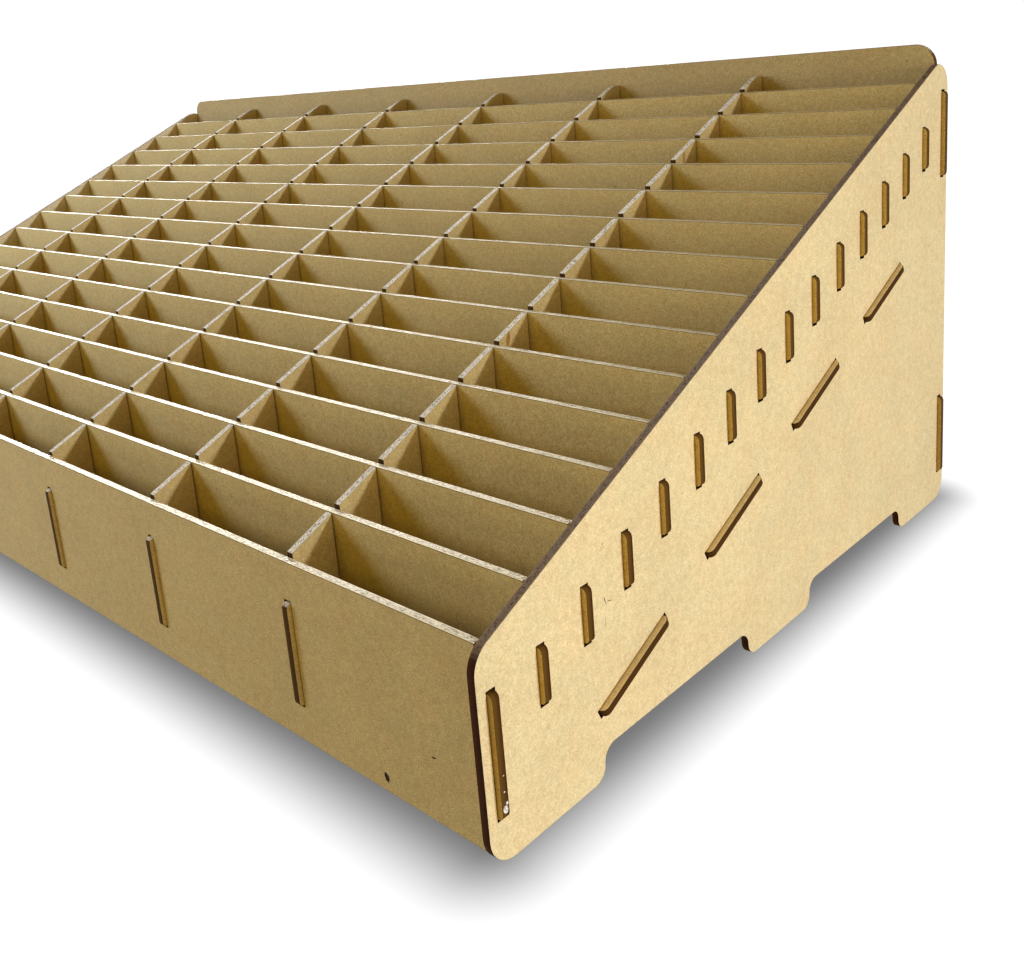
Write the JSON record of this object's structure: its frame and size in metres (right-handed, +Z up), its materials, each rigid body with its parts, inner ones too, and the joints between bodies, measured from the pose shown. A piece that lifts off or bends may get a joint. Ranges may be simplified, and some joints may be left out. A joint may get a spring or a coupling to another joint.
{
  "type": "sloped pigeonhole rack",
  "caption": "Free-standing sloped rack of slotted fibreboard sheets; crossing dividers form stepped rows of narrow upright cells, open at the top, for small paints, bottles or markers.",
  "frame": {"origin": "on the surface the rack stands on, below the middle of the rack", "axes": "+X to the right seen from the low front, +Y to the tall back, +Z up"},
  "size_m": [0.6584, 0.326, 0.222],
  "materials": {
    "side_panels": "raw laser-cut fibreboard, matt, with charred brown cut edges",
    "end_panels": "raw laser-cut fibreboard, matt, with charred brown cut edges",
    "floor": "raw laser-cut fibreboard, matt, with charred brown cut edges",
    "row_dividers": "raw laser-cut fibreboard, matt, with charred brown cut edges",
    "column_dividers": "raw laser-cut fibreboard, matt, with charred brown cut edges"
  },
  "bodies": {
    "root": {"side_panel_right": "side_panels", "side_panel_left": "side_panels", "front_panel": "end_panels", "back_panel": "end_panels", "sloping_floor": "floor", "row_divider_01": "row_dividers", "row_divider_02": "row_dividers", "row_divider_03": "row_dividers", "row_divider_04": "row_dividers", "row_divider_05": "row_dividers", "row_divider_06": "row_dividers", "row_divider_07": "row_dividers", "row_divider_08": "row_dividers", "row_divider_09": "row_dividers", "row_divider_10": "row_dividers", "row_divider_11": "row_dividers", "row_divider_12": "row_dividers", "row_divider_13": "row_dividers", "row_divider_14": "row_dividers", "column_divider_1": "column_dividers", "column_divider_2": "column_dividers", "column_divider_3": "column_dividers", "column_divider_4": "column_dividers", "column_divider_5": "column_dividers", "column_divider_6": "column_dividers"}
  },
  "joints": []
}
